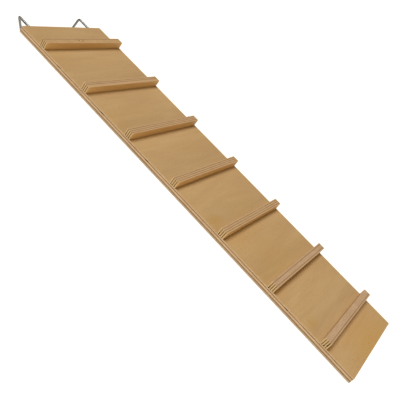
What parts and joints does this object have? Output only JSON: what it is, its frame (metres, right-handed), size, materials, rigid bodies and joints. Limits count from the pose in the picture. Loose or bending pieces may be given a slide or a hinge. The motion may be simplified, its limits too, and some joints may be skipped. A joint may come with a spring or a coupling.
{
  "type": "cleated pet ramp",
  "caption": "Flat plywood ramp for small animals, with square cross cleats and two turning screw hooks in its upper end that drop over a shelf edge or mesh wall.",
  "frame": {"origin": "centre of the board's flat underside", "axes": "+X along the board up the slope, towards the hooks; +Z out of the trodden face, on which the cleats stand; +Y to the left of somebody who walks up"},
  "size_m": [0.6277, 0.16, 0.0422],
  "materials": {
    "board_plywood": "bare sanded veneer",
    "cleat_plywood": "bare sawn plywood",
    "screw_steel": "zinc plated",
    "hook_steel": "bright zinc plated wire"
  },
  "bodies": {
    "ramp": {"ramp_board": "board_plywood", "cleat_1": "cleat_plywood", "cleat_2": "cleat_plywood", "cleat_3": "cleat_plywood", "cleat_4": "cleat_plywood", "cleat_5": "cleat_plywood", "cleat_6": "cleat_plywood", "cleat_7": "cleat_plywood", "cleat_1_screw_left": "screw_steel", "cleat_1_screw_right": "screw_steel", "cleat_2_screw_left": "screw_steel", "cleat_2_screw_right": "screw_steel", "cleat_3_screw_left": "screw_steel", "cleat_3_screw_right": "screw_steel", "cleat_4_screw_left": "screw_steel", "cleat_4_screw_right": "screw_steel", "cleat_5_screw_left": "screw_steel", "cleat_5_screw_right": "screw_steel", "cleat_6_screw_left": "screw_steel", "cleat_6_screw_right": "screw_steel", "cleat_7_screw_left": "screw_steel", "cleat_7_screw_right": "screw_steel"},
    "left_hook": {"hook_left": "hook_steel"},
    "right_hook": {"hook_right": "hook_steel"}
  },
  "joints": [
    {"name": "left_hook_turn", "type": "hinge", "parent": "ramp", "child": "left_hook", "pos_m": [0.3, 0.061, 0.0045], "axis": [-1, 0, 0], "range_deg": [-125, 55]},
    {"name": "right_hook_turn", "type": "hinge", "parent": "ramp", "child": "right_hook", "pos_m": [0.3, -0.061, 0.0045], "axis": [1, 0, 0], "range_deg": [-102, 78]}
  ]
}
